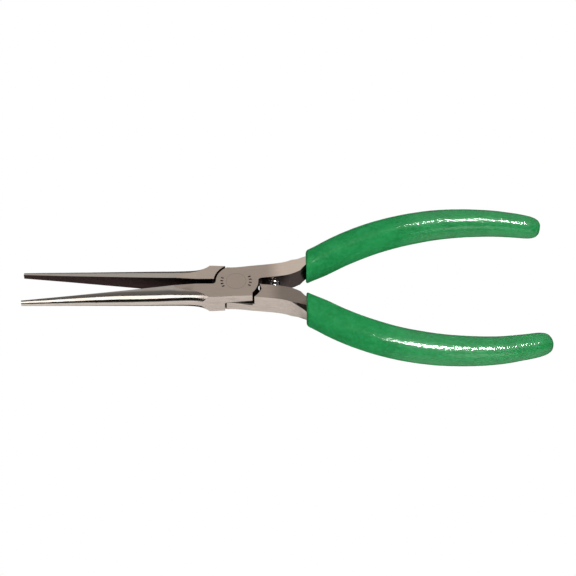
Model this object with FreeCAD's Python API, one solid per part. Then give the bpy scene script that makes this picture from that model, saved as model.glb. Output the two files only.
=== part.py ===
import FreeCAD, Part
import math
import os
from FreeCAD import Vector

# Long nose pliers with a lap joint, a return spring and cushion grips, standing slightly
# open. Millimetres. Origin on the pivot axis at the joint's underside, +Z up through the
# rivet, -X towards the jaw tips, +X towards the handle ends. Both halves share one jaw and
# joint design, the second turned over about the X axis. Everything is built about the lap
# plane at half the thickness, and lifted when it is written.

os.makedirs("parts", exist_ok=True)

# ---- joint and jaws ----
THICK = 7.0               # joint and handle bars
HALF_OPEN = math.radians(4.45)  # each jaw's angle from closed
JAW_LEN = 67.45           # pivot to jaw tip
JAW_TIP_DEPTH = 4.0       # bar at the tip, before the cone trims it
LAP_GAP = 0.03            # each half stands this far off the lap plane
PLATE_R = 6.4             # nose of the lap plate, about the pivot
HEEL_R = 7.0              # heel of the lap plate, about the pivot
SHOULDER_R = 7.1          # jaw side shoulder, about the pivot
HANDLE_SHOULDER_R = 8.6   # handle side shoulder, about the pivot
NOSE_FILLET = 1.0         # inner corner between jaw and lap plate
NECK_X, NECK_Y = -12.56, -0.98  # where the inner face turns parallel to X
HEEL_FOOT_Y = -5.85
RELIEF_X0, RELIEF_X1 = -3.3, 7.5    # sloping relief on the lap face
RELIEF_Y, RELIEF_WIDTH = -9.0, 4.1
RELIEF_RISE, RELIEF_TOP = 0.12, 0.82  # above the lap face at X0, height at X1
RELIEF_UNDERCUT = 0.5     # how far the cutter reaches below the lap face

# ---- rivet and tick marks ----
RIVET_SHANK_R = 2.40
RIVET_HEAD_R = 3.15
RIVET_SINK = 0.75         # depth of the countersunk heads
RIVET_PLAY = 0.04         # running clearance in the moving half
TICK_R0, TICK_R1 = 4.05, 4.95  # ring of marks round the rivet
TICK_W, TICK_DEPTH = 0.42, 0.18
TICK_ROUNDING = TICK_W * 0.45
TICK_ANGLES = (163, 178, 193, 207, -22, -7, 9, 24)  # degrees from +X

# ---- spring, its axis along Y ----
SPRING_X = 12.0
SPRING_OD = 2.8
SPRING_WIRE = 0.45
SPRING_TURNS = 7.5
SPRING_SEAT_R = 1.7
SPRING_SEAT_Y = 4.5       # seat bottom from the centre plane
SPRING_CLEARANCE = 0.04   # total, over both ends

# ---- handles and grips ----
RUNOUT_X = 17.6           # where the square bar starts to round off
RUNOUT_REACH = 12.0       # runout cutter, each side of the centreline
RUNOUT_LEN = 20.0
CORE_JOIN_X = 24.5        # the core is joined to the bar from here on
GRIP_FRONT_X = 22.0
GRIP_SKIN = 0.6           # skin over the foamed layer
GRIP_SKIN_FRONT = 1.0     # skin ahead of the foamed layer
GRIP_LIP_R = 0.8          # rounding of the grip's front lip
GRIP_SHORT = 0.45         # the lower grip ends this much sooner
GRIP_SHORT_X, GRIP_SHORT_LEN = 80.0, 18.0  # stretch that takes up the shortening
GRIP_END_X = 93.5         # past here the foamed layer's stations also move in
GRIP_FLAT = 0.93          # half thickness over half width
GRIP_MIN_A, GRIP_MIN_B = 0.6, 0.55  # least half width and half thickness

# Jaw cone: distance from the pivot, half width, half thickness
JAW = [
    (69.0, 1.17, 0.83), (67.4, 1.30, 0.90), (64.0, 1.58, 1.05), (60.0, 1.90, 1.22),
    (55.5, 2.22, 1.41), (51.2, 2.53, 1.62), (47.0, 2.82, 1.85), (42.9, 3.11, 2.08),
    (36.0, 3.63, 2.44), (29.3, 4.12, 2.82), (24.0, 4.47, 3.15), (19.9, 4.70, 3.45),
    (17.6, 4.84, 3.68), (15.5, 5.00, 3.90), (13.5, 5.24, 4.18), (11.7, 5.62, 4.54),
    (10.4, 6.13, 4.98), (9.3, 6.85, 5.50), (8.4, 7.75, 6.15), (7.6, 8.85, 6.95),
    (7.0, 9.9, 7.7),
]
# Block round the jaw cone: distance range along the jaw, range outward from its inner face
JAW_BLOCK_U = (72, 7.2)
JAW_BLOCK_V = (-3, 13)

# Handle centrelines: x, y of the upper handle, y of the lower one before it is turned over.
# The upper one sweeps wider.
HANDLE_LINES = [
    (17.0, 5.35, 5.35), (19.5, 6.95, 6.95), (22.0, 8.5, 8.55), (25.8, 10.6, 10.71),
    (29.5, 12.98, 13.13), (33.3, 15.38, 15.43), (37.5, 17.67, 17.62), (41.4, 19.56, 19.4),
    (45.3, 21.2, 20.96), (49.2, 22.6, 22.27), (53.1, 23.8, 23.34), (57.0, 24.76, 24.18),
    (61.0, 25.62, 24.9), (66.5, 26.41, 25.5), (72.0, 26.79, 25.76), (78.0, 26.84, 25.69),
    (82.5, 26.65, 25.34), (86.3, 26.23, 24.75), (90.1, 25.67, 24.1), (94.0, 24.9, 23.22),
    (98.0, 24.0, 22.2),
]
# Steel core inside the grip: x, half width, half thickness
CORE = [
    (17.2, 5.6, 6.6), (18.6, 3.75, 5.1), (20.0, 3.22, 4.4), (22.0, 2.93, 3.92),
    (25.0, 2.75, 3.62), (30.0, 2.65, 3.35), (38.0, 2.55, 3.05), (50.0, 2.35, 2.7),
    (62.0, 2.15, 2.4), (74.0, 1.9, 2.1), (84.0, 1.65, 1.8), (91.5, 1.4, 1.5),
]
# Grip: x, half width
GRIP = [
    (18.5, 4.8), (21.0, 4.9), (24.0, 4.98), (28.0, 5.07), (33.0, 5.16), (39.0, 5.21),
    (45.0, 5.19), (51.0, 5.14), (57.0, 5.08), (62.0, 4.98), (67.0, 4.85), (73.0, 4.66),
    (79.0, 4.46), (85.0, 4.22), (89.0, 4.03), (92.0, 3.89), (94.0, 3.72), (95.5, 3.42),
    (96.6, 2.95), (97.3, 2.32), (97.8, 1.45),
]
# Outline of one half, jaw down and handle up: x, y
TOP_EDGE = [
    (-0.25, 5.68), (3.47, 6.12), (5.7, 6.4), (8.07, 6.65), (12.5, 7.22), (15, 7.72),
    (17.5, 8.68), (20.1, 10.1), (23.0, 12.1), (27.0, 14.9),
]
BOTTOM_EDGE = [
    (27.0, 8.3), (23.0, 5.95), (21.3, 4.95), (20.05, 4.2), (18.6, 3.4), (17.0, 2.72),
    (15.0, 2.2), (12.5, 1.82), (10.65, 1.6), (8.3, 1.36),
]
JAW_SIDE = [
    (-4.96, -6.27), (-7.4, -6.40), (-9.2, -6.46), (-11.0, -6.62), (-13.4, -6.95),
    (-17.0, -7.5), (-24.0, -8.6),
]
# Limits of the handle side shoulder pocket: x, y
SHOULDER_LIMITS = [(0.5, -20), (7.2, -20), (7.32, 1.0), (8.35, 4.4), (8.35, 20), (0.5, 20)]


# ---- geometry helpers ----
def flat(points):
    return [Vector(x, y, 0) for x, y in points]


def jaw_point(along, outward):
    """Along the jaw from the pivot, and outward from its inner face."""
    sine, cosine = math.sin(HALF_OPEN), math.cos(HALF_OPEN)
    return Vector(-along * cosine + outward * sine, -along * sine - outward * cosine, 0)


def on_circle(radius, degrees):
    angle = math.radians(degrees)
    return Vector(radius * math.cos(angle), radius * math.sin(angle), 0)


def segment(start, end):
    return Part.LineSegment(start, end).toShape()


def arc(start, middle, end):
    return Part.Arc(start, middle, end).toShape()


def spline(points):
    curve = Part.BSplineCurve()
    curve.interpolate(points)
    return curve


def polygon(points):
    return Part.makePolygon(points + points[:1])


def prism(wire, z0, z1):
    base = wire.copy()
    base.translate(Vector(0, 0, z0))
    return Part.Face(base).extrude(Vector(0, 0, z1 - z0))


def section(centre, across, half_width, half_thick, power=2.0, count=24):
    """Closed oval section; a power above 2 squares it off."""
    points = []
    for i in range(count):
        angle = 2 * math.pi * i / count
        cosine, sine = math.cos(angle), math.sin(angle)
        scale = (abs(cosine) ** power + abs(sine) ** power) ** (-1.0 / power)
        points.append(centre + across * (half_width * scale * cosine)
                      + Vector(0, 0, half_thick * scale * sine))
    curve = Part.BSplineCurve()
    curve.interpolate(points, PeriodicFlag=True)
    return Part.Wire([curve.toShape()])


def at_x(line, x):
    """Point on a handle centreline at x, with the direction across it."""
    low, high = line.FirstParameter, line.LastParameter
    for _ in range(60):
        middle = (low + high) / 2
        if line.value(middle).x < x:
            low = middle
        else:
            high = middle
    tangent = line.tangent(low)[0]
    return line.value(low), Vector(-tangent.y, tangent.x, 0)


def tube(line, stations, power=2.0):
    sections = [section(*at_x(line, x), width, thick, power) for x, width, thick in stations]
    return Part.makeLoft(sections, True, False)


def flipped(shape):
    turned = shape.copy()
    turned.rotate(Vector(0, 0, 0), Vector(1, 0, 0), 180)
    return turned


def largest(shape):
    return max(shape.Solids, key=lambda solid: solid.Volume)


# ---- rivet ----
def upper_head():
    return Part.makeCone(RIVET_SHANK_R, RIVET_HEAD_R, RIVET_SINK,
                         Vector(0, 0, THICK / 2 - RIVET_SINK))


def lower_head(play=0.0):
    return Part.makeCone(RIVET_HEAD_R + play, RIVET_SHANK_R + play, RIVET_SINK,
                         Vector(0, 0, -THICK / 2))


def rivet_hole(play=0.0):
    return Part.makeCylinder(RIVET_SHANK_R + play, 2 * THICK, Vector(0, 0, -THICK))


def make_rivet():
    """Headed flush on both faces."""
    shank = Part.makeCylinder(RIVET_SHANK_R, THICK, Vector(0, 0, -THICK / 2))
    return shank.fuse(upper_head()).fuse(lower_head()).removeSplitter()


# ---- halves ----
def outside_jaw():
    """What to cut from the bar to leave the tapered jaw."""
    across = jaw_point(0, 1) - jaw_point(0, 0)
    cone = Part.makeLoft([section(jaw_point(along, 0), across, width, thick)
                          for along, width, thick in JAW], True, False)
    (tip, root), (inner, outer) = JAW_BLOCK_U, JAW_BLOCK_V
    corners = [(tip, inner), (root, inner), (root, outer), (tip, outer)]
    return prism(polygon([jaw_point(*c) for c in corners]), -THICK, THICK).cut(cone)


def half_outline():
    """Outline of one half, jaw down and handle up."""
    centre_y = NECK_Y + NOSE_FILLET
    reach = PLATE_R + NOSE_FILLET
    centre = Vector(-math.sqrt(reach ** 2 - centre_y ** 2), centre_y, 0)
    fillet_start = Vector(centre.x, NECK_Y, 0)
    fillet_end = centre * (PLATE_R / reach)
    tip_in, tip_out = jaw_point(JAW_LEN, 0), jaw_point(JAW_LEN, JAW_TIP_DEPTH)
    neck = Vector(NECK_X, NECK_Y, 0)
    plate_top = on_circle(PLATE_R, 117.5)
    top, bottom, side = [plate_top] + flat(TOP_EDGE), flat(BOTTOM_EDGE), flat(JAW_SIDE)
    heel_start, heel_end = on_circle(HEEL_R, 4), on_circle(HEEL_R, -42.5)
    heel_foot = Vector(heel_end.x, HEEL_FOOT_Y, 0)
    side_start = Vector(1.17, -5.95, 0)
    return Part.Wire([
        segment(tip_in, neck),
        segment(neck, fillet_start),
        arc(fillet_start, centre + on_circle(NOSE_FILLET, -45), fillet_end),
        arc(fillet_end, on_circle(PLATE_R, 152), plate_top),
        spline(top).toShape(),
        segment(top[-1], bottom[0]),
        spline(bottom).toShape(),
        arc(bottom[-1], Vector(7.35, 1.0, 0), heel_start),
        arc(heel_start, on_circle(HEEL_R, -19), heel_end),
        segment(heel_end, heel_foot),
        segment(heel_foot, side_start),
        segment(side_start, side[0]),
        spline(side).toShape(),
        segment(side[-1], tip_out),
        segment(tip_out, tip_in),
    ])


def join_handle(half, line):
    """Round the bar off into the core and carry the core on along the handle."""
    core = tube(line, CORE)
    point, across = at_x(line, RUNOUT_X)
    ahead = Vector(across.y, -across.x, 0) * RUNOUT_LEN
    reach = across * RUNOUT_REACH
    corners = [point - reach, point - reach + ahead, point + reach + ahead, point + reach]
    half = half.cut(prism(polygon(corners), -THICK, THICK).cut(core))
    rear = core.common(Part.makeBox(90, 60, 4 * THICK, Vector(CORE_JOIN_X, -10, -2 * THICK)))
    # the core is no thicker than the bar
    return half.fuse(rear.common(Part.makeBox(90, 60, THICK, Vector(20, -10, -THICK / 2))))


def cut_lap(half):
    """Mill away the lower half of the thickness round the pivot."""
    base = Vector(0, 0, LAP_GAP - THICK)
    pocket = Part.makeCylinder(SHOULDER_R, THICK, base)
    wide = Part.makeCylinder(HANDLE_SHOULDER_R, THICK, base).common(
        prism(polygon(flat(SHOULDER_LIMITS)), -2 * THICK, 2 * THICK))
    half = half.cut(pocket).cut(wide)
    # relief along the free edge of the lap face, deepening towards the heel
    floor = LAP_GAP - RELIEF_UNDERCUT
    profile = [(RELIEF_X0, floor), (RELIEF_X1, floor), (RELIEF_X1, RELIEF_TOP),
               (RELIEF_X0, LAP_GAP + RELIEF_RISE)]
    wedge = polygon([Vector(x, RELIEF_Y, z) for x, z in profile])
    return half.cut(Part.Face(wedge).extrude(Vector(0, RELIEF_WIDTH, 0)))


def tick_mark(degrees):
    tick = Part.makeBox(TICK_R1 - TICK_R0, TICK_W, 1,
                        Vector(TICK_R0, -TICK_W / 2, THICK / 2 - TICK_DEPTH))
    upright = [e for e in tick.Edges if abs(e.Vertexes[0].Z - e.Vertexes[1].Z) > 0.5]
    tick = tick.makeFillet(TICK_ROUNDING, upright)
    tick.rotate(Vector(0, 0, 0), Vector(0, 0, 1), degrees)
    return tick


def make_half(line, surround):
    """One half: jaw down, handle up along the given centreline."""
    half = prism(half_outline(), -THICK / 2, THICK / 2).cut(surround)
    half = cut_lap(join_handle(half, line))
    half = half.cut(rivet_hole()).cut(upper_head())
    # spring seat, drilled square to the centre plane
    half = half.cut(Part.makeCylinder(SPRING_SEAT_R, SPRING_SEAT_Y + 1,
                                      Vector(SPRING_X, -1, 0), Vector(0, 1, 0)))
    for degrees in TICK_ANGLES:
        half = half.cut(tick_mark(degrees))
    return largest(half)


# ---- return spring ----
def make_spring():
    coil_r = (SPRING_OD - SPRING_WIRE) / 2
    length = 2 * SPRING_SEAT_Y - SPRING_CLEARANCE - SPRING_WIRE
    helix = Part.makeHelix(length / SPRING_TURNS, length, coil_r)
    wire_end = Part.makeCircle(SPRING_WIRE / 2, Vector(coil_r, 0, 0), Vector(0, 1, 0))
    spring = Part.Wire(helix).makePipeShell([Part.Wire([wire_end])], True, True)
    spring.translate(Vector(0, 0, -length / 2))
    spring.rotate(Vector(0, 0, 0), Vector(1, 0, 0), 90)
    spring.translate(Vector(SPRING_X, 0, 0))
    return spring


# ---- grips ----
def grip_body(line, short, inset, front):
    stations = []
    for x, width in GRIP:
        x -= short * max(0.0, (x - GRIP_SHORT_X) / GRIP_SHORT_LEN)
        stations.append((x - (inset if x > GRIP_END_X else 0),
                         max(width - inset, GRIP_MIN_A),
                         max(width * GRIP_FLAT - inset, GRIP_MIN_B)))
    body = tube(line, stations, 2.15)
    return body.common(Part.makeBox(120, 60, 30, Vector(front, -5, -15)))


def make_grip(line, short, half):
    """The foamed layer and the skin over it, for one handle."""
    outer = grip_body(line, short, 0.0, GRIP_FRONT_X)
    lip = [e for e in outer.Edges
           if all(abs(v.X - GRIP_FRONT_X) < 1e-4 for v in e.Vertexes)
           and abs(e.BoundBox.XMax - GRIP_FRONT_X) < 1e-3]
    outer = outer.makeFillet(GRIP_LIP_R, lip)
    inner = grip_body(line, short, GRIP_SKIN, GRIP_FRONT_X + GRIP_SKIN_FRONT)
    return inner.cut(half), outer.cut(inner).cut(half)


def export(name, shape):
    solid = largest(shape).copy()
    solid.translate(Vector(0, 0, THICK / 2))
    solid.exportStep("parts/%s.step" % name)


line_upper = spline(flat([(x, upper) for x, upper, _ in HANDLE_LINES]))
line_lower = spline(flat([(x, lower) for x, _, lower in HANDLE_LINES]))
surround = outside_jaw()
# the lower jaw carries the upper handle
lower_jaw_half = make_half(line_upper, surround)
unturned = make_half(line_lower, surround)
cushion_upper, skin_upper = make_grip(line_upper, 0.0, lower_jaw_half)
cushion_lower, skin_lower = make_grip(line_lower, GRIP_SHORT, unturned)
# the upper jaw half runs on the rivet, the other one grips it
upper_jaw_half = flipped(unturned).cut(rivet_hole(RIVET_PLAY)).cut(lower_head(RIVET_PLAY))

export("lower_jaw_half", lower_jaw_half)
export("upper_jaw_half", upper_jaw_half)
export("pivot_rivet", make_rivet())
export("return_spring", make_spring())
export("grip_cushion_upper", cushion_upper)
export("grip_skin_upper", skin_upper)
export("grip_cushion_lower", flipped(cushion_lower))
export("grip_skin_lower", flipped(skin_lower))
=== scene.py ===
"""Small pliers with tapering half-round jaws, a riveted lap joint and vinyl-dipped handles.

The tool lies flat. The pivot axis is Z through the origin, the jaws point to -X and the
handles to +X. The lap plane is at z = LAP. The half with the lower jaw (-Y) carries the upper
handle (+Y); the other half is the same shape turned over about the X axis. Sizes are in mm
unless noted, and MM turns them into metres.
"""

import bmesh
import bpy
import math
import numpy as np
from mathutils import Matrix, Vector, noise
from types import SimpleNamespace


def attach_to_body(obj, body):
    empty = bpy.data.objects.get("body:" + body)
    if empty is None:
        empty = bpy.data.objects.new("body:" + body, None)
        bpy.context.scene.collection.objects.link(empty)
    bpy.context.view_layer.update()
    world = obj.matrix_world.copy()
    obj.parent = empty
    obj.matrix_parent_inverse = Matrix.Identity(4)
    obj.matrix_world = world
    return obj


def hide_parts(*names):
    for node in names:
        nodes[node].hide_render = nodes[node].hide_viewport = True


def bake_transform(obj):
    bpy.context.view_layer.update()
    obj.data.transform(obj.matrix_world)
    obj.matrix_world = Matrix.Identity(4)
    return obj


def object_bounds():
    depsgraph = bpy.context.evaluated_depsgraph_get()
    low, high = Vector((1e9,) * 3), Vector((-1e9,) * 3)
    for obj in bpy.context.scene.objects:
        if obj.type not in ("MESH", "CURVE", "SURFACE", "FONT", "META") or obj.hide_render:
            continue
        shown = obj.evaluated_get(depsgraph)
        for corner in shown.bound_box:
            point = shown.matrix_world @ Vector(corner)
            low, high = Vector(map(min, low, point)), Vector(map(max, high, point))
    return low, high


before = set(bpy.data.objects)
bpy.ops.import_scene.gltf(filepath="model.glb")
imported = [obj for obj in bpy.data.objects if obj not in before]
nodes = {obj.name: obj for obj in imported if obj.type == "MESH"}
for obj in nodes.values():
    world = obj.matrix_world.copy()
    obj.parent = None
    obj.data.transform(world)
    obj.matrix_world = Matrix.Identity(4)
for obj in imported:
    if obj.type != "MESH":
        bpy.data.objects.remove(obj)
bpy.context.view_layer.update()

MM = 0.001
LAP = 3.5                  # lap plane above the joint's underside
LOWER, UPPER = "lower_jaw_body", "upper_jaw_body"
scene = bpy.context.scene


# ---------------------------------------------------------------- node helpers
class Value:
    """A number socket. Arithmetic on it adds Math nodes."""

    def __init__(self, tree, socket):
        self.tree, self.socket = tree, socket

    def __add__(self, other):
        return self.tree.math("ADD", self, other)

    def __radd__(self, other):
        return self.tree.math("ADD", other, self)

    def __sub__(self, other):
        return self.tree.math("SUBTRACT", self, other)

    def __rsub__(self, other):
        return self.tree.math("SUBTRACT", other, self)

    def __mul__(self, other):
        return self.tree.math("MULTIPLY", self, other)

    def __abs__(self):
        return self.tree.math("ABSOLUTE", self)


class Tree:
    """A short way to write the nodes of a material or a world."""

    def __init__(self, owner, output="ShaderNodeOutputMaterial"):
        self.owner = owner
        owner.use_nodes = True
        self.tree = owner.node_tree
        self.tree.nodes.clear()
        self.output = self.tree.nodes.new(output)

    def add(self, kind, inputs=None, **settings):
        node = self.tree.nodes.new(kind)
        for key, setting in settings.items():
            setattr(node, key, setting)
        for key, value in (inputs or {}).items():
            self.put(node.inputs[key], value)
        return node

    def put(self, socket, value):
        if isinstance(value, Value):
            value = value.socket
        if isinstance(value, bpy.types.Node):
            value = value.outputs[0]
        if isinstance(value, bpy.types.NodeSocket):
            self.tree.links.new(value, socket)
        else:
            socket.default_value = value

    def math(self, operation, a, b=0.0, clamp=False):
        node = self.add("ShaderNodeMath", {0: a, 1: b, 2: 0.0}, operation=operation,
                        use_clamp=clamp)
        return Value(self, node.outputs[0])

    def split(self, vector):
        node = self.add("ShaderNodeSeparateXYZ", {0: vector})
        return [Value(self, socket) for socket in node.outputs]

    def position(self):
        return self.add("ShaderNodeTexCoord").outputs["Object"]

    def radius(self, x, y):
        """Distance from the pivot axis."""
        return self.math("SQRT", x * x + y * y)

    def step(self, value, lo, hi, unit=1.0):
        """0 below lo, 1 above hi, smooth between."""
        node = self.add(
            "ShaderNodeMapRange",
            {"Value": value, "From Min": lo * unit, "From Max": hi * unit},
            interpolation_type="SMOOTHSTEP", clamp=True)
        return Value(self, node.outputs["Result"])

    def fall(self, value, lo, hi, unit=1.0):
        """1 below lo, 0 above hi, smooth between."""
        return 1.0 - self.step(value, lo, hi, unit)

    def band(self, value, rise, drop, unit=1.0):
        """1 between two (lo, hi) slopes, 0 outside them."""
        return self.step(value, *rise, unit) * self.fall(value, *drop, unit)

    def mix(self, factor, a, b):
        """Colour a where factor is 0, colour b where it is 1."""
        a, b = [(*c, 1.0) if isinstance(c, tuple) else c for c in (a, b)]
        node = self.add("ShaderNodeMix", {"Factor": factor, 6: a, 7: b},
                        data_type="RGBA", blend_type="MIX")
        return node.outputs[2]

    def scaled(self, colour, gain):
        grey = self.add("ShaderNodeCombineColor", {0: gain, 1: gain, 2: gain})
        node = self.add("ShaderNodeMix", {"Factor": 1.0, 6: colour, 7: grey},
                        data_type="RGBA", blend_type="MULTIPLY")
        return node.outputs[2]

    def stretched(self, position, frequency):
        return self.add("ShaderNodeVectorMath", {0: position, 1: frequency},
                        operation="MULTIPLY")

    def noise(self, position, frequency, detail=3.0, rough=0.55, distortion=0.0):
        """Noise with one frequency per metre, or one for each axis."""
        if not isinstance(frequency, tuple):
            frequency = (frequency,) * 3
        node = self.add("ShaderNodeTexNoise", {
            "Vector": self.stretched(position, frequency), "Scale": 1.0,
            "Detail": detail, "Roughness": rough, "Distortion": distortion})
        return Value(self, node.outputs["Fac"])

    def bump(self, height, strength, distance, **normal):
        return self.add("ShaderNodeBump", {
            "Strength": strength, "Distance": distance * MM, "Height": height, **normal})

    def surface(self, shader):
        """Link the shader to the output and return the material or world."""
        self.put(self.output.inputs["Surface"], shader)
        return self.owner

    def principled(self, inputs):
        return self.surface(self.add("ShaderNodeBsdfPrincipled", inputs))


def material_tree(name):
    return Tree(bpy.data.materials.new(name))


# ---------------------------------------------------------------- steel materials
def ground_lines(t, position):
    """Fine grinding marks along the tool."""
    return t.noise(position, (260.0, 7000.0, 7000.0), detail=4.0, rough=0.6)


def handling_cloud(t, position):
    """Broad, faint stains."""
    return t.noise(position, (300.0, 420.0, 420.0), detail=3.0, rough=0.55, distortion=0.4)


def steel_zones(t, side):
    """Coordinates and masks on one half; side is +1 with the lower jaw, -1 with the upper."""
    position = t.position()
    geometry = t.add("ShaderNodeNewGeometry")
    true_normal = t.add(
        "ShaderNodeVectorTransform", {0: geometry.outputs["True Normal"]},
        vector_type="NORMAL", convert_from="WORLD", convert_to="OBJECT")
    x, y, z = t.split(position)
    normal_x, normal_y, normal_z = t.split(true_normal)
    height = abs(z - LAP * MM)
    up = abs(normal_z)
    on_face = t.step(height, 3.46, 3.49, MM)
    # the inner, gripping side of the jaw
    inward = normal_y * float(side)
    jaw_face = t.step(inward, 0.93, 0.985) * t.fall(x, -8.0, -7.0, MM)
    # inner walls of the handle bar, behind the joint, for painted shade
    bar_wall_shade = t.step(inward * -1.0, 0.55, 0.85) * t.step(x, 6.5, 8.5, MM)
    jaw = t.fall(x, -21.0, -9.0, MM)
    mirror = t.fall(x, -12.5, -10.0, MM)
    off_face = (1.0 - on_face) * (1.0 - jaw_face)
    polished = mirror * off_face
    pale = jaw * off_face
    # tick marks around the rivet, below the face, for painted shade in them, and the line where
    # the rivet meets it
    radius = t.radius(x, y)
    ring = t.band(radius, (3.9, 4.0), (5.0, 5.1), MM)
    depth = t.band(height, (3.25, 3.28), (3.40, 3.49), MM)
    marks = ring * depth
    rivet_line = t.fall(abs(radius - 3.16 * MM), 0.02, 0.12, MM) * on_face
    return SimpleNamespace(
        position=position, smooth_normal=geometry.outputs["Normal"], x=x, radius=radius,
        height=height, normal_x=normal_x, normal_y=normal_y, up=up, on_face=on_face,
        jaw_face=jaw_face, bar_wall_shade=bar_wall_shade, polished=polished, pale=pale, marks=marks,
        rivet_line=rivet_line)


def steel_painted_shade(t, zone):
    """Painted shade: in hollows, along the lap seam, on the gap walls, on the lap itself and on
    the bar run-out.
    """
    x, height, up = zone.x, zone.height, zone.up
    # painted shade in hollows, from ambient occlusion
    occlusion = t.add("ShaderNodeAmbientOcclusion", {"Distance": 1.6 * MM},
                      samples=8, inside=False).outputs["AO"]
    painted_shade = t.fall(occlusion, 0.22, 0.66)
    # painted shade along the parting line of the lap, which climbs towards +X
    lift = height - t.math("MAXIMUM", x + 3.3 * MM, 0.0) * 0.068
    near_lap = t.fall(lift, 0.22, 0.40, MM)
    in_joint = t.band(x, (-3.4, -3.2), (5.1, 5.3), MM)
    seam = near_lap * in_joint * t.fall(up, 0.3, 0.6)
    painted_shade = t.math("MAXIMUM", painted_shade, seam * 0.8)
    # painted shade on upright walls across the tool, just behind the joint
    gap_wall_shade = (t.step(abs(zone.normal_x), 0.35, 0.55)
                * t.band(x, (4.5, 4.7), (9.0, 9.2), MM) * t.fall(up, 0.3, 0.6))
    painted_shade = t.math("MAXIMUM", painted_shade, gap_wall_shade * 0.93)
    # painted shade on the lap face itself
    lap_face_shade = t.fall(height, 0.10, 0.20, MM) * t.step(up, 0.90, 0.97)
    painted_shade = t.math("MAXIMUM", painted_shade, lap_face_shade * 0.95)
    # painted shade on sloping faces of the bar that look to -Y, from just before the grip
    runout_shade = (t.step(x, 18.3, 19.3, MM) * t.step(zone.normal_y * -1.0, 0.08, 0.25)
              * t.band(up, (0.12, 0.30), (0.965, 0.99)))
    return t.math("MAXIMUM", painted_shade, runout_shade * 0.97)


def steel_edges(t, zone):
    """Normal rounded over the edges of jaw and rivet hole, and a mask of those edges."""
    bevel = t.add("ShaderNodeBevel", {"Radius": 0.11 * MM}, samples=6)
    rounded = t.math("MAXIMUM", t.fall(zone.x, -11.0, -9.0, MM),
                     t.fall(zone.radius, 3.3, 3.5, MM))
    normal = t.add("ShaderNodeMix", {0: rounded, 4: bevel, 5: zone.smooth_normal},
                   data_type="VECTOR").outputs[1]
    bend = t.add("ShaderNodeVectorMath", {0: normal, 1: zone.smooth_normal},
                 operation="DOT_PRODUCT").outputs["Value"]
    return normal, t.fall(bend, 0.90, 0.995)


def steel_textures(t, position):
    return SimpleNamespace(
        lines=ground_lines(t, position),
        strokes=t.noise(position, (130.0, 2600.0, 2600.0), rough=0.65, distortion=0.15),
        across=t.noise(position, (9000.0, 500.0, 900.0), rough=0.6),
        grain=t.noise(position, 7500.0, detail=2.0, rough=0.7),
        cloud=handling_cloud(t, position))


def steel_colour(t, zone, texture, painted_shade, worn, bar_light_or_shade, neck_light_or_shade):
    cloud, up = texture.cloud, zone.up
    # blasted faces are a warmer grey than the brushed side walls
    face = t.mix(cloud, (0.566, 0.459, 0.388), (0.655, 0.540, 0.459))
    wall = t.mix(cloud, (0.520, 0.453, 0.412), (0.617, 0.544, 0.500))
    base = t.mix(t.step(up, 0.6, 0.95), wall, face)
    # painted light or shade on the flat faces of the handle bar, then of the shoulder by the jaw
    bar = t.step(zone.x, 9.0, 15.0, MM)
    base = t.scaled(base, 1.0 + bar * (up * bar_light_or_shade))
    neck = t.fall(zone.x, -5.2, -3.4, MM) * up
    base = t.scaled(base, 1.0 + neck * neck_light_or_shade)
    # pale outside of the jaw, dark gripping face, painted shade on the inner wall of the bar
    base = t.mix(zone.pale, base, t.mix(cloud, (0.575, 0.515, 0.462), (0.64, 0.585, 0.535)))
    dark = t.mix(t.step(texture.across, 0.3, 0.7),
                 (0.030, 0.0155, 0.0150), (0.056, 0.033, 0.031))
    base = t.mix(zone.jaw_face, base, dark)
    base = t.mix(zone.bar_wall_shade * 0.93, base, (0.052, 0.034, 0.034))
    # light and dark of the grinding; the broad strokes are weaker on flat faces
    tone = ((texture.lines - 0.5) * 0.30 + 1.0 + (texture.grain - 0.5) * 0.22
            + (texture.strokes - 0.5) * (0.62 - up * 0.40))
    base = t.scaled(base, tone)
    # rubbed edges, painted shade in crevices, the rivet's dark joint line, and painted shade in
    # the tick marks
    for mask, strength, colour in (
        (worn, 0.14, (0.62, 0.57, 0.53)),
        (painted_shade, 0.95, (0.012, 0.009, 0.008)),
        (zone.rivet_line, 0.24, (0.10, 0.08, 0.065)),
        (zone.marks, 0.96, (0.030, 0.023, 0.020)),
    ):
        base = t.mix(mask * strength, base, colour)
    return base


def steel(name, side, bar_light_or_shade, neck_light_or_shade):
    """Ground tool steel for one half. The gains paint light or shade onto its bar and shoulder
    faces.
    """
    t = material_tree(name)
    zone = steel_zones(t, side)
    painted_shade = steel_painted_shade(t, zone)
    normal, edge = steel_edges(t, zone)
    texture = steel_textures(t, zone.position)
    worn = edge * t.step(t.noise(zone.position, 900.0), 0.35, 0.6)
    base = steel_colour(t, zone, texture, painted_shade, worn, bar_light_or_shade, neck_light_or_shade)

    # satin in general, near mirror on the outside of the jaw
    satin = 0.30 + (texture.cloud - 0.5) * 0.12
    fine = 0.112 + texture.lines * 0.03
    rough = satin * (1.0 - zone.polished) + fine * zone.polished
    rough = rough + zone.jaw_face * 0.12
    rough = t.math("ADD", rough, painted_shade * 0.25, clamp=True)

    # grinding lines, grain on the faces, and marks across the gripping face
    relief = (texture.lines * (1.0 - zone.polished * 0.985)
              + texture.grain * (zone.on_face * 0.9))
    relief = relief + texture.across * (zone.jaw_face * 1.2)
    bump = t.bump(relief, strength=0.22, distance=0.012, Normal=normal)
    return t.principled({"Base Color": base, "Metallic": 1.0, "Roughness": rough,
                         "Normal": bump})


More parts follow.
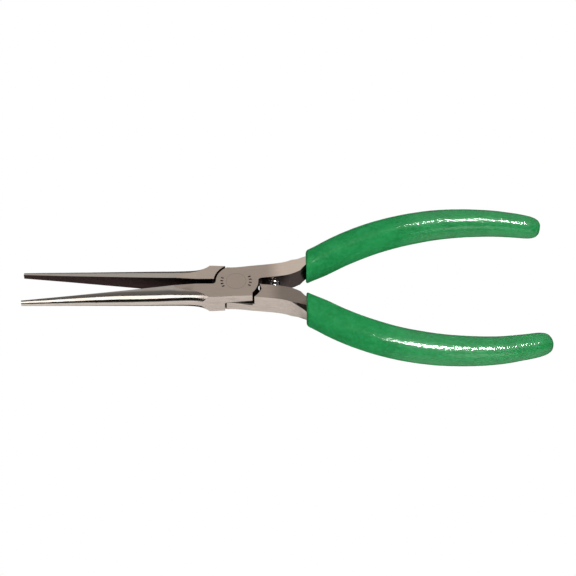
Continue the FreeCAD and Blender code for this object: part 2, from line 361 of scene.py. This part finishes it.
def rivet_steel(name):
    t = material_tree(name)
    position = t.position()
    x, y, _ = t.split(position)
    radius = t.radius(x, y)
    grain = t.noise(position, 7000.0, detail=2.0, rough=0.7)
    lines = ground_lines(t, position)
    cloud = handling_cloud(t, position)
    rim = t.step(radius, 2.96, 3.14, MM)
    base = t.mix(cloud, (0.556, 0.450, 0.379), (0.644, 0.529, 0.449))
    tone = (lines - 0.5) * 0.25 + (1.0 + (grain - 0.5) * 0.22)
    base = t.scaled(base, tone)
    base = t.mix(rim * 0.35, base, (0.12, 0.095, 0.08))
    bump = t.bump(grain * 0.9 + lines, strength=0.22, distance=0.012)
    return t.principled({"Base Color": base, "Metallic": 1.0,
                         "Roughness": 0.25 + cloud * 0.1, "Normal": bump})


def spring_wire(name):
    t = material_tree(name)
    position = t.position()
    cloud = t.noise(position, 1500.0)
    fine = t.noise(position, 9000.0, detail=2.0)
    base = t.mix(cloud, (0.62, 0.61, 0.60), (0.82, 0.82, 0.83))
    bump = t.bump(fine, strength=0.1, distance=0.01)
    return t.principled({"Base Color": base, "Metallic": 1.0,
                         "Roughness": 0.12 + cloud * 0.14, "Normal": bump})


# ---------------------------------------------------------------- grip materials
def vinyl(name):
    t = material_tree(name)
    position = t.position()
    cloud = t.noise(position, 160.0, rough=0.5)
    blotch = t.noise(position, 900.0, detail=2.0, rough=0.5)
    peel = t.noise(position, 1500.0, detail=1.0, rough=0.5)
    fine = t.noise(position, 4000.0, detail=2.0, rough=0.55)
    # two deep greens, then lighter blotches
    base = t.mix(t.step(cloud, 0.3, 0.7), (0.012, 0.242, 0.062), (0.020, 0.298, 0.084))
    base = t.mix(t.step(blotch, 0.35, 0.75) * 0.40, base, (0.038, 0.372, 0.124))
    bump = t.bump(peel + fine * 0.14, strength=1.0, distance=0.085)
    rough = 0.34 + blotch * 0.16
    # the gloss fades towards the front, and 7 mm further back on the upper grip
    x, y, _ = t.split(position)
    along = x - t.step(y, -1.0, 1.0, MM) * (7.0 * MM)
    gloss = 0.03 + t.step(along, 41.0, 57.0, MM) * 0.52
    return t.principled({
        "Base Color": base,
        "Roughness": rough,
        "IOR": 1.45,
        "Specular IOR Level": 0.022 + gloss * 0.19,
        "Normal": bump,
        "Coat Weight": gloss,
        "Coat Roughness": 0.035,
        "Coat IOR": 1.5,
        "Coat Normal": bump,
        "Subsurface Weight": 0.12,
        "Subsurface Radius": (0.2 * MM, 0.8 * MM, 0.3 * MM),
        "Subsurface Scale": 1.0,
    })


def foam(name):
    t = material_tree(name)
    cell_vector = t.stretched(t.position(), (3000.0, 3000.0, 3000.0))
    cells = t.add("ShaderNodeTexVoronoi",
                  {"Vector": cell_vector, "Scale": 1.0}).outputs["Distance"]
    base = t.mix(t.step(cells, 0.1, 0.7), (0.012, 0.12, 0.04), (0.03, 0.22, 0.08))
    bump = t.bump(cells, strength=0.6, distance=0.08)
    return t.principled({"Base Color": base, "Roughness": 0.85, "Normal": bump})


# ---------------------------------------------------------------- shape helpers
def dress(obj, material):
    obj.data.materials.clear()
    obj.data.materials.append(material)


def link_object(name, mesh):
    obj = bpy.data.objects.new(name, mesh)
    scene.collection.objects.link(obj)
    return obj


def flip(turned):
    """Signs that turn a point over about the X axis, or leave it."""
    return np.array([1.0, -1.0, -1.0]) if turned else np.ones(3)


def mesh_array(items, attribute, width=1, kind=float):
    """A mesh attribute as an array, one row for each item."""
    values = np.zeros(len(items) * width, kind)
    items.foreach_get(attribute, values)
    return values.reshape(-1, width) if width > 1 else values


def cubic(knots, values):
    """Natural cubic spline as a function that gives the value, or the slope."""
    knots, values = np.array(knots, float), np.array(values, float)
    count = len(knots)
    gaps = np.diff(knots)
    matrix, right = np.zeros((count, count)), np.zeros(count)
    matrix[0, 0] = matrix[-1, -1] = 1
    for i in range(1, count - 1):
        before, after = gaps[i - 1], gaps[i]
        matrix[i, i - 1], matrix[i, i], matrix[i, i + 1] = before, 2 * (before + after), after
        right[i] = 6 * ((values[i + 1] - values[i]) / after
                        - (values[i] - values[i - 1]) / before)
    bends = np.linalg.solve(matrix, right)

    def spline(at, slope=False):
        at = np.asarray(at, float)
        i = np.clip(np.searchsorted(knots, at) - 1, 0, count - 2)
        d, gap = at - knots[i], gaps[i]
        bend, change = bends[i], bends[i + 1] - bends[i]
        start = ((values[i + 1] - values[i]) / gap
                 - gap * (2 * bends[i] + bends[i + 1]) / 6)
        if slope:
            return start + bend * d + change * d * d / (2 * gap)
        return values[i] + start * d + bend * d * d / 2 + change * d ** 3 / (6 * gap)

    return spline


# ---------------------------------------------------------------- steel halves
HALF_OPEN = math.radians(4.45)      # angle of each jaw's axis from -X
SHARP_ANGLE = math.radians(32.0)
# the ground cone of a jaw: distance from the pivot, half width across, half thickness
JAW = [
    (69.0, 1.17, 0.83), (67.4, 1.30, 0.90), (64.0, 1.58, 1.05), (60.0, 1.90, 1.22),
    (55.5, 2.22, 1.41), (51.2, 2.53, 1.62), (47.0, 2.82, 1.85), (42.9, 3.11, 2.08),
    (36.0, 3.63, 2.44), (29.3, 4.12, 2.82), (24.0, 4.47, 3.15), (19.9, 4.70, 3.45),
    (17.6, 4.84, 3.68), (15.5, 5.00, 3.90), (13.5, 5.24, 4.18), (11.7, 5.62, 4.54),
    (10.4, 6.13, 4.98), (9.3, 6.85, 5.50), (8.4, 7.75, 6.15), (7.6, 8.85, 6.95),
    (7.0, 9.9, 7.7),
]
# lean of the lower jaw's shading normals: distance from the pivot, degrees.
# The first acts all over the flanks, the second only towards the flat faces.
FLANK_LEAN = [
    (8.5, 17.0), (12.0, 15.0), (16.0, 9.0), (21.0, 4.5), (30.0, 1.5), (43.0, -4.0),
    (56.0, -15.0), (67.0, -16.0),
]
FACE_LEAN = [
    (8.5, 11.0), (14.0, 11.0), (18.0, 9.0), (21.0, 5.0), (24.0, 4.0), (30.0, 2.0),
    (37.0, 0.0), (43.0, 1.0), (49.0, 4.0), (58.0, 9.0), (67.0, 9.0),
]


def lean_angle(around, along, table, start, width):
    """Lean from a table, eased in over the width in degrees around the cone from start."""
    k = np.clip((np.abs(around) - math.radians(start)) / math.radians(width), 0, 1)
    return np.sign(around) * np.radians(np.interp(along, *zip(*table))) * k * k * (3 - 2 * k)


def leaned(slope_u, slope_v, slope_z, along):
    """Cone gradient turned about the jaw's axis to move its bright streak (looks only)."""
    around = np.arctan2(slope_z, slope_v)
    turn = around + lean_angle(around, along, FLANK_LEAN, start=3, width=32)
    turn += lean_angle(around, along, FACE_LEAN, start=35, width=20)
    turn = np.clip(turn, -math.pi / 2, math.pi / 2)
    size = np.hypot(slope_v, slope_z)
    slope_u = size * np.minimum(slope_u / np.maximum(size, 1e-9), 0.075)
    return slope_u, size * np.cos(turn), size * np.sin(turn)


def cone_normals(mesh, turned):
    """Give corners on the ground cone its exact normals, so reflections run clean."""
    corner_normals = mesh_array(mesh.corner_normals, "vector", 3)
    corner_vertex = mesh_array(mesh.loops, "vertex_index", kind=int)
    face_normals = mesh_array(mesh.polygons, "normal", 3)
    corner_face = np.repeat(np.arange(len(mesh.polygons)),
                            mesh_array(mesh.polygons, "loop_total", kind=int))
    points = mesh_array(mesh.vertices, "co", 3) / MM - np.array([0.0, 0.0, LAP])
    x, y, z = (points * flip(turned)).T
    # u runs along the jaw's axis, v outwards across it
    c, s = math.cos(HALF_OPEN), math.sin(HALF_OPEN)
    u, v = -(x * c + y * s), x * s - y * c
    distances, widths, thicknesses = zip(*sorted(JAW))
    width_at, thickness_at = cubic(distances, widths), cubic(distances, thicknesses)
    w, h = width_at(u), thickness_at(u)
    on_cone = ((u > 7.3) & (u < 68.5) & (v > -0.01)
               & (np.abs(np.sqrt((v / w) ** 2 + (z / h) ** 2) - 1) < 0.012))
    gradient = (-(v ** 2) * width_at(u, slope=True) / w ** 3
                - z ** 2 * thickness_at(u, slope=True) / h ** 3, v / w ** 2, z / h ** 2)

    def corner_directions(along, across, up):
        n = np.stack([-along * c + across * s, -along * s - across * c, up], -1) * flip(turned)
        return (n / np.maximum(np.linalg.norm(n, axis=1), 1e-9)[:, None])[corner_vertex]

    exact = corner_directions(*gradient)
    shading = exact if turned else corner_directions(*leaned(*gradient, u))
    agrees = (exact * face_normals[corner_face]).sum(1) > math.cos(math.radians(14))
    take = on_cone[corner_vertex] & agrees
    mesh.normals_split_custom_set(
        np.where(take[:, None], shading, corner_normals).tolist())


def smooth_copy(node, turned):
    """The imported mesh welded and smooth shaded, with its milled edges kept crisp."""
    name = node + "_ground"
    mesh = nodes[node].data.copy()
    mesh.name = name
    bm = bmesh.new()
    bm.from_mesh(mesh)
    bmesh.ops.remove_doubles(bm, verts=bm.verts, dist=1e-6)
    for face in bm.faces:
        face.smooth = True
    for edge in bm.edges:
        edge.smooth = (len(edge.link_faces) == 2
                       and edge.calc_face_angle(math.pi) < SHARP_ANGLE)
    bm.to_mesh(mesh)
    bm.free()
    if mesh.attributes.get("custom_normal"):
        mesh.attributes.remove(mesh.attributes["custom_normal"])
    obj = link_object(name, mesh)
    weighted = obj.modifiers.new("weighted", "WEIGHTED_NORMAL")
    weighted.keep_sharp = True
    weighted.weight = 60
    bpy.context.view_layer.update()
    depsgraph = bpy.context.evaluated_depsgraph_get()
    baked = bpy.data.meshes.new_from_object(obj.evaluated_get(depsgraph))
    obj.modifiers.clear()
    obj.data = baked
    cone_normals(baked, turned)
    return obj


# ---------------------------------------------------------------- grips
# handle centrelines: x, y, with the handle on the +Y side
LINE_UPPER = [
    (17.0, 5.35), (19.5, 6.95), (22.0, 8.5), (25.8, 10.6), (29.5, 12.98), (33.3, 15.38),
    (37.5, 17.67), (41.4, 19.56), (45.3, 21.2), (49.2, 22.6), (53.1, 23.8), (57.0, 24.76),
    (61.0, 25.62), (66.5, 26.41), (72.0, 26.79), (78.0, 26.84), (82.5, 26.65),
    (86.3, 26.23), (90.1, 25.67), (94.0, 24.9), (98.0, 24.0),
]
LINE_LOWER = [
    (17.0, 5.35), (19.5, 6.95), (22.0, 8.55), (25.8, 10.71), (29.5, 13.13), (33.3, 15.43),
    (37.5, 17.62), (41.4, 19.4), (45.3, 20.96), (49.2, 22.27), (53.1, 23.34), (57.0, 24.18),
    (61.0, 24.9), (66.5, 25.5), (72.0, 25.76), (78.0, 25.69), (82.5, 25.34),
    (86.3, 24.75), (90.1, 24.1), (94.0, 23.22), (98.0, 22.2),
]
# grip section: x of the centreline station, half width
GRIP = [
    (18.5, 4.8), (21.0, 4.9), (24.0, 4.98), (28.0, 5.07), (33.0, 5.16), (39.0, 5.21),
    (45.0, 5.19), (51.0, 5.14), (57.0, 5.08), (62.0, 4.98), (67.0, 4.85), (73.0, 4.66),
    (79.0, 4.46), (85.0, 4.22), (89.0, 4.03), (92.0, 3.89), (94.0, 3.72), (95.5, 3.42),
    (96.6, 2.95), (97.3, 2.32), (97.8, 1.45),
]
DOME = (94.4, 94.8, 95.2, 95.6, 96.0, 96.4, 96.7, 97.0, 97.25, 97.45, 97.6, 97.72, 97.8)
FLAT, POWER = 0.93, 2.15   # thickness over width, and squareness, of the oval section
FRONT_X, WALL, LIP = 22.0, 1.0, 0.8
SKIN = 0.62                # skin thickness behind the front wall
SQUARE_X = 34.0            # from here back the rings stand square to the centreline
GRIP_SHORT = 0.45          # the lower grip ends this much sooner
SHORTEN_FROM = 80.0        # the shortening grows from here to the end of the line
SHORTEN_LENGTH = 98.0 - SHORTEN_FROM
RIM_FLARE = 0.12           # step out of the skin where it meets the bar
FRONT_RELIEF = 0.2         # share of the surface relief on the front wall


def oval(angles):
    c, s = np.cos(angles), np.sin(angles)
    k = (np.abs(c) ** POWER + np.abs(s) ** POWER) ** (-1.0 / POWER)
    return k * c, k * s


class Handle:
    """One handle: its centreline, the half width of its grip and the steel bar inside."""

    def __init__(self, line, short, node, turned):
        self.y = cubic(*zip(*line))
        self.half_width = cubic(
            [x - short * max(0.0, (x - SHORTEN_FROM) / SHORTEN_LENGTH) for x, _ in GRIP],
            [half for _, half in GRIP])
        self.short, self.node, self.turned = short, node, turned

    def section(self, station, angles, inset):
        """Points of the oval that stands square to the centreline at station."""
        station = np.broadcast_to(station, angles.shape)
        slope = self.y(station, slope=True)
        length = np.sqrt(1 + slope * slope)
        normal_x, normal_y = -slope / length, 1 / length
        half = self.half_width(station)
        across, up = oval(angles)
        wide, tall = np.maximum(half - inset, 0.05), np.maximum(half * FLAT - inset, 0.05)
        return np.stack([station + normal_x * wide * across,
                         self.y(station) + normal_y * wide * across, tall * up], -1)

    def station_at(self, plane_x, angles, inset):
        """Station whose section meets the plane x = plane_x at each angle, by bisection."""
        low, high = np.full_like(angles, plane_x - 8.0), np.full_like(angles, plane_x + 8.0)
        for _ in range(50):
            middle = (low + high) / 2
            over = self.section(middle, angles, inset)[..., 0] > plane_x
            high, low = np.where(over, middle, high), np.where(over, low, middle)
        return (low + high) / 2

    def bar_outline(self, plane_x):
        """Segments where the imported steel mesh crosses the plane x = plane_x."""
        mesh = nodes[self.node].data
        points = mesh_array(mesh.vertices, "co", 3) / MM
        mesh.calc_loop_triangles()
        corners = points[np.array([tri.vertices for tri in mesh.loop_triangles])]
        corners[..., 2] -= LAP
        corners *= flip(self.turned)
        side = corners[..., 0] - plane_x
        keep = (side.min(1) < 0) & (side.max(1) > 0) & (corners[..., 1].max(1) > 0)
        segments = []
        for tri, s in zip(corners[keep], side[keep]):
            ends = []
            for i in range(3):
                j = (i + 1) % 3
                if s[i] * s[j] < 0:
                    k = s[i] / (s[i] - s[j])
                    ends.append((tri[i] + (tri[j] - tri[i]) * k)[1:])
            if len(ends) == 2:
                segments.append(ends)
        return np.array(segments)

    def bar_radius(self, plane_x, centre_y, directions):
        """Reach of the steel bar from (plane_x, centre_y, 0) along each direction."""
        segments = self.bar_outline(plane_x)
        centre = np.array([centre_y, 0.0])
        a, b = segments[:, 0] - centre, segments[:, 1] - centre
        e = b - a
        reaches = []
        for d in directions:
            cross = d[0] * e[:, 1] - d[1] * e[:, 0]
            cross = np.where(np.abs(cross) < 1e-12, 1e-12, cross)
            reach = (a[:, 0] * e[:, 1] - a[:, 1] * e[:, 0]) / cross
            share = (a[:, 0] * d[1] - a[:, 1] * d[0]) / cross
            hit = (share >= -1e-6) & (share <= 1 + 1e-6) & (reach > 0)
            reaches.append(reach[hit].max() if hit.any() else 2.6)
        return np.array(reaches)


# Each function below returns a list of (ring of points, share of surface relief).
def inside_rings(handle, angles):
    """Inside of the skin, from the end forwards."""
    front = handle.station_at(FRONT_X + WALL, angles, SKIN)
    stations = list(np.linspace(96.6 - handle.short, SQUARE_X, 60))
    stations += [front * (1 - k) + SQUARE_X * k for k in np.linspace(1, 0, 14)]
    return [(handle.section(station, angles, SKIN), 0.0) for station in stations]


def polar(ring, centre_y):
    """Directions and distances of a ring's points from the centreline, in its plane."""
    offset = ring[:, 1:] - np.array([centre_y, 0.0])
    reach = np.linalg.norm(offset, axis=1)
    return offset / reach[:, None], reach


def wall_ring(x, centre_y, directions, radius):
    return np.column_stack([np.full(len(radius), x), centre_y + directions[:, 0] * radius,
                            directions[:, 1] * radius])


def wall_inner_rings(handle, last):
    """Back of the front wall, from the last inside ring down to the bar."""
    x = FRONT_X + WALL
    centre_y = float(handle.y(x))
    directions, reach = polar(last, centre_y)
    rim = np.minimum(handle.bar_radius(x, centre_y, directions) + 0.01, reach - 0.1)
    return [(wall_ring(x, centre_y, directions, reach * (1 - k) + rim * k), 0.0)
            for k in (0.5, 1.0)]


def wall_outer_rings(handle, angles):
    """Front of the front wall, from the bar out towards the lip."""
    edge = handle.section(handle.station_at(FRONT_X, angles, LIP), angles, LIP)
    centre_y = float(handle.y(FRONT_X))
    directions, reach = polar(edge, centre_y)
    bar = handle.bar_radius(FRONT_X + 0.05, centre_y, directions)
    rim = np.minimum(bar + 0.01, reach - 0.05)
    rings = []
    for back, flare in ((0.35, 0.0), (0.12, 0.0), (0.0, RIM_FLARE)):
        radius = np.minimum(rim + flare, reach - 0.02)
        rings.append((wall_ring(FRONT_X + back, centre_y, directions, radius), 0.0))
    for k in (0.45, 0.75):
        radius = (rim + RIM_FLARE) * (1 - k) + reach * k
        rings.append((wall_ring(FRONT_X, centre_y, directions, radius), FRONT_RELIEF))
    return rings


def lip_rings(handle, angles):
    """Rounded lip, set back from the front plane and in from the outside."""
    rings = []
    for a in np.linspace(0, math.pi / 2, 12):
        back, inset = LIP * (1 - math.cos(a)), LIP * (1 - math.sin(a))
        station = handle.station_at(FRONT_X + back, angles, inset)
        relief = FRONT_RELIEF + 0.8 * a / (math.pi / 2)
        rings.append((handle.section(station, angles, inset), relief))
    return rings


def outside_rings(handle, angles):
    """Outside of the skin, from the lip back over the domed end."""
    front = handle.station_at(FRONT_X + LIP, angles, 0.0)
    stations = [front * (1 - k) + SQUARE_X * k
                for k in np.linspace(0, 1, 64)[1:]]
    stations += list(np.linspace(SQUARE_X, 94.0 - handle.short, 420)[1:])
    stations += [x - handle.short * (x - SHORTEN_FROM) / SHORTEN_LENGTH for x in DOME]
    return [(handle.section(station, angles, 0.0), 1.0) for station in stations]


def grip_shell(handle):
    """Vertices, faces and relief shares of the vinyl skin, with the lap plane at z = 0."""
    count = 160
    angles = np.linspace(0, 2 * math.pi, count, endpoint=False)
    rings = inside_rings(handle, angles)
    rings += wall_inner_rings(handle, rings[-1][0])
    rings += wall_outer_rings(handle, angles)
    rings += lip_rings(handle, angles)
    rings += outside_rings(handle, angles)
    # close the dome over the last ring
    last = rings[-1][0]
    centre = last.mean(0)
    axis = np.array([1.0, float(handle.y(DOME[-1] - handle.short, slope=True)), 0.0])
    axis /= np.linalg.norm(axis)
    for k, out in ((0.7, 0.05), (0.4, 0.09)):
        rings.append((centre + (last - centre) * k + axis * out, 1.0))
    tail = centre + axis * 0.10
    head = rings[0][0].mean(0) + axis * 0.2
    verts = [head] + [point for ring, _ in rings for point in ring] + [tail]
    relief = [0.0] + [share for ring, share in rings for _ in ring] + [1.0]

    def index(i, j):
        return 1 + i * count + j % count

    faces = []
    end = len(rings) - 1
    for j in range(count):
        faces.append((0, index(0, j), index(0, j + 1)))
        faces.append((len(verts) - 1, index(end, j + 1), index(end, j)))
    for i in range(end):
        for j in range(count):
            faces.append((index(i, j), index(i + 1, j), index(i + 1, j + 1), index(i, j + 1)))
    return np.array(verts), faces, np.array(relief)


def make_mesh(name, verts, faces, turned):
    """A smooth object from vertices in mm about the lap plane."""
    points = verts * flip(turned) + np.array([0.0, 0.0, LAP])
    mesh = bpy.data.meshes.new(name)
    mesh.from_pydata((points * MM).tolist(), [], faces)
    mesh.validate()
    bm = bmesh.new()
    bm.from_mesh(mesh)
    bmesh.ops.recalc_face_normals(bm, faces=bm.faces)
    bm.to_mesh(mesh)
    bm.free()
    for face in mesh.polygons:
        face.use_smooth = True
    return link_object(name, mesh)


def orange_peel(obj, relief, seed):
    """Real relief on the dipped skin: slow waves, then a fine peel."""
    mesh = obj.data
    mesh.update()
    points = mesh_array(mesh.vertices, "co", 3)
    normals = mesh_array(mesh.vertices, "normal", 3)
    offset = Vector((seed * 7.3, seed * 3.1, seed * 5.7))
    rise = np.zeros(len(points))
    for i, share in enumerate(relief):
        if share <= 0:
            continue
        p = Vector(points[i]) / MM
        rise[i] = share * (0.030 * noise.noise(p * 0.22 + offset)
                           + 0.016 * noise.noise(p * 0.75 + offset)
                           + 0.013 * noise.noise(p * 1.35 - offset))
    rise -= 0.045 * relief
    points = points + normals * rise[:, None] * MM
    mesh.vertices.foreach_set("co", points.ravel())
    mesh.update()


# ---------------------------------------------------------------- spring
SPRING_X = 12.0
SPRING_DIAMETER, WIRE = 2.8, 0.45       # outside of the coil, and of the wire
SPRING_SEAT = 4.48                      # seats in the handles, from the XZ plane
END_TURNS, MIDDLE_TURNS = 1.0, 5.6      # closed turns at each end, open turns between
STEPS_PER_TURN, WIRE_SIDES = 44, 14
START_ANGLE = 0.9                       # radians


def coil_points():
    """Centreline of the wire, coiled about an axis along Y."""
    coil_radius = (SPRING_DIAMETER - WIRE) / 2
    reach = SPRING_SEAT - WIRE / 2
    total = MIDDLE_TURNS + 2 * END_TURNS
    steps = int(total * STEPS_PER_TURN)
    closed = WIRE * 1.02                # pitch of the closed turns
    points = []
    for i in range(steps + 1):
        k = total * i / steps
        if k < END_TURNS:
            y = closed * k
        elif k > total - END_TURNS:
            y = 2 * reach - closed * (total - k)
        else:
            share = (k - END_TURNS) / MIDDLE_TURNS
            y = closed * END_TURNS + (2 * reach - 2 * closed * END_TURNS) * share
        a = 2 * math.pi * k + START_ANGLE
        points.append(Vector((SPRING_X + coil_radius * math.cos(a), y - reach,
                              coil_radius * math.sin(a))))
    return points


def spring_mesh():
    points = coil_points()
    count, sides, wire_radius = len(points), WIRE_SIDES, WIRE / 2
    verts, faces = [], []
    for i, p in enumerate(points):
        tangent = (points[min(i + 1, count - 1)] - points[max(i - 1, 0)]).normalized()
        outward = Vector((p.x - SPRING_X, 0, p.z)).normalized()
        up = tangent.cross(outward).normalized()
        outward = up.cross(tangent).normalized()
        for j in range(sides):
            b = 2 * math.pi * j / sides
            verts.append(tuple(p + outward * (wire_radius * math.cos(b))
                               + up * (wire_radius * math.sin(b))))
    for i in range(count - 1):
        for j in range(sides):
            a, b = i * sides + j, i * sides + (j + 1) % sides
            faces.append((a, b, b + sides, a + sides))
    faces.append(tuple(range(sides)))
    faces.append(tuple(range((count - 1) * sides, count * sides))[::-1])
    return np.array(verts), faces


# ---------------------------------------------------------------- assemble
def attach(obj, material, body, node):
    dress(obj, material)
    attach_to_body(obj, body)
    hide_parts(node)


def build_halves():
    # painted light on the lower half's bar faces; painted shade on the upper half's bar faces
    # and painted light on its shoulder
    lower = steel("ground_steel_lower", side=1, bar_light_or_shade=0.66, neck_light_or_shade=0.0)
    upper = steel("ground_steel_upper", side=-1, bar_light_or_shade=-0.40, neck_light_or_shade=0.20)
    halves = []
    for node, body, material, turned in (("lower_jaw_half", LOWER, lower, False),
                                         ("upper_jaw_half", UPPER, upper, True)):
        obj = smooth_copy(node, turned)
        attach(obj, material, body, node)
        halves.append(obj)
    return halves


def build_grips():
    material = vinyl("dipped_green_vinyl")
    upper = Handle(LINE_UPPER, 0.0, "lower_jaw_half", turned=False)
    lower = Handle(LINE_LOWER, GRIP_SHORT, "upper_jaw_half", turned=True)
    grips = []
    for name, node, body, seed, handle in (
        ("grip_vinyl_upper", "grip_skin_upper", LOWER, 1.0, upper),
        ("grip_vinyl_lower", "grip_skin_lower", UPPER, 2.0, lower),
    ):
        verts, faces, relief = grip_shell(handle)
        obj = make_mesh(name, verts, faces, handle.turned)
        orange_peel(obj, relief, seed)
        attach(obj, material, body, node)
        grips.append(obj)
    return grips


def build_spring():
    verts, faces = spring_mesh()
    obj = make_mesh("return_spring_coil", verts, faces, turned=False)
    dress(obj, spring_wire("bright_spring_wire"))
    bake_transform(obj)
    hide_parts("return_spring")
    return obj


steel_objects = [nodes["pivot_rivet"]] + build_halves()
dress(nodes["pivot_rivet"], rivet_steel("ground_rivet"))
foam_material = foam("foamed_vinyl")
for cushion in ("grip_cushion_upper", "grip_cushion_lower"):
    dress(nodes[cushion], foam_material)
grips = build_grips()
spring = build_spring()
steel_objects.append(spring)


# ---------------------------------------------------------------- floor and room, in metres
FLOOR_HALF, FLOOR_GAP = 3.0, 0.00005
# brightness of the room by degrees from the camera's side (0) over the top to the back (180)
ROOM = [
    (0, 0.50), (7, 0.46), (13, 0.012), (82, 0.012), (88, 0.14), (114, 0.21), (125, 0.58),
    (150, 0.58), (180, 0.50),
]


def floor_material():
    """White to the camera, shaded for all other rays, and clear from below."""
    t = material_tree("pale_floor")
    # pale for rays that come from the +Y side, dark for those from the -Y side
    _, facing, _ = t.split(t.add("ShaderNodeNewGeometry").outputs["Incoming"])
    shade = t.step(facing, -0.05, 0.42)
    lit = t.add("ShaderNodeBsdfDiffuse",
                {"Color": t.mix(shade, (0.10, 0.098, 0.095), (0.86, 0.85, 0.84))})
    lift = t.add("ShaderNodeEmission",
                 {"Color": (1.0, 0.985, 0.97, 1.0), "Strength": shade * 0.16})
    lit = t.add("ShaderNodeAddShader", {0: lit, 1: lift})
    glow = t.add("ShaderNodeEmission", {"Color": (1.0, 1.0, 1.0, 1.0), "Strength": 1.0})
    camera_ray = t.add("ShaderNodeLightPath").outputs["Is Camera Ray"]
    top = t.add("ShaderNodeMixShader", {0: camera_ray, 1: lit, 2: glow})
    clear = t.add("ShaderNodeBsdfTransparent")
    below = t.add("ShaderNodeNewGeometry").outputs["Backfacing"]
    return t.surface(t.add("ShaderNodeMixShader", {0: below, 1: top, 2: clear}))


def build_floor():
    z = min(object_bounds()[0][2], 0.0) - FLOOR_GAP
    s = FLOOR_HALF
    mesh = bpy.data.meshes.new("floor")
    mesh.from_pydata([(-s, -s, z), (s, -s, z), (s, s, z), (-s, s, z)], [], [(0, 1, 2, 3)])
    floor = link_object("floor", mesh)
    mesh.materials.append(floor_material())


def build_world():
    """Room in bands about the X axis, dimmer towards -X."""
    scene.world = bpy.data.worlds.new("studio")
    t = Tree(scene.world, "ShaderNodeOutputWorld")
    x, y, z = t.split(t.add("ShaderNodeTexCoord").outputs["Generated"])
    towards_camera = t.add("ShaderNodeMath", {0: y, 1: -1.0}, operation="MULTIPLY")
    angle = t.add("ShaderNodeMath", {0: z, 1: towards_camera}, operation="ARCTAN2")
    share = t.add("ShaderNodeMath", {0: angle, 1: math.pi}, operation="DIVIDE")
    ramp = t.add("ShaderNodeValToRGB", {0: share})
    fade = t.add("ShaderNodeMapRange",
                 {"Value": x, "From Min": -0.45, "From Max": -0.08,
                  "To Min": 0.45, "To Max": 1.0}, interpolation_type="SMOOTHSTEP")
    t.surface(t.add("ShaderNodeBackground", {0: ramp, 1: fade.outputs["Result"]}))
    stops = ramp.color_ramp.elements
    while len(stops) > 1:
        stops.remove(stops[-1])
    stops[0].position = 0.0
    stops[0].color = (ROOM[0][1],) * 3 + (1,)
    for degrees, level in ROOM[1:]:
        stop = stops.new(degrees / 180.0)
        stop.color = (level, level * 0.995, level * 0.985, 1)


# ---------------------------------------------------------------- lights and camera, in metres
def area(name, location, target, size, power, color=(1.0, 0.99, 0.97), only=None,
         glossy=True, diffuse=True, spin=0.0):
    """Rectangular light aimed at target; only lists the objects it lights."""
    light = bpy.data.lights.new(name, "AREA")
    light.shape = "RECTANGLE"
    light.size, light.size_y = size
    light.energy = power
    light.color = color
    obj = link_object(name, light)
    obj.location = location
    aim = Vector(target) - Vector(location)
    obj.rotation_euler = aim.to_track_quat("-Z", "Y").to_euler()
    obj.rotation_euler.z += math.radians(spin)
    if only is not None:
        receivers = bpy.data.collections.new(name + "_lights")
        for receiver in only:
            receivers.objects.link(receiver)
        obj.light_linking.receiver_collection = receivers
    obj.visible_glossy, obj.visible_diffuse = glossy, diffuse


def build_lights():
    # a softbox for the steel, facing straight down, to the front and over the jaws' side
    area("softbox_front", (-0.26, -0.2925, 0.60), (-0.26, -0.2925, 0.0), size=(0.46, 0.415),
         power=1.25, color=(1.0, 0.985, 0.96), only=steel_objects)
    # a reflected strip for each grip, and a card in front of both
    area("strip_upper", (0.112, 0.045, 0.59), (0.112, 0.045, 0.0), size=(0.16, 0.054),
         power=6.0, only=[grips[0], spring], diffuse=False, spin=-62.0)
    area("strip_lower", (0.080, -0.137, 0.59), (0.080, -0.137, 0.0), size=(0.33, 0.085),
         power=14.0, only=[grips[1], spring], diffuse=False, spin=19.0)
    area("card_grips", (0.17, -0.45, 0.17), (0.08, -0.02, 0.0), size=(0.20, 0.20),
         power=0.36, only=grips, diffuse=False)
    # soft light with no reflection
    area("soft_overhead", (0.11, -0.07, 0.59), (0.07, -0.01, 0.0), size=(0.27, 0.10),
         power=2.0, glossy=False)
    area("fill_front", (0.06, -0.55, 0.38), (0.06, 0.0, 0.0), size=(0.8, 0.4),
         power=2.2, glossy=False)


def build_camera():
    """Camera on the -Y side, looking down at 50 degrees."""
    elevation, turn, distance = math.radians(50.0), math.radians(-0.46), 0.60039
    data = bpy.data.cameras.new("camera")
    camera = link_object("camera", data)
    data.sensor_width = 36.0
    data.lens = 119.125
    data.clip_start = 0.01
    spin = Matrix.Rotation(turn, 3, "Z")
    target = spin @ Vector((0.01628, 0.00008, LAP * MM))
    back = spin @ Vector((0.0, -math.cos(elevation), math.sin(elevation)))
    camera.location = target + back * distance
    camera.rotation_euler = (target - camera.location).to_track_quat("-Z", "Y").to_euler()
    scene.camera = camera


build_floor()
build_world()
build_lights()
build_camera()
scene.view_settings.view_transform = "Standard"
scene.view_settings.look = "None"
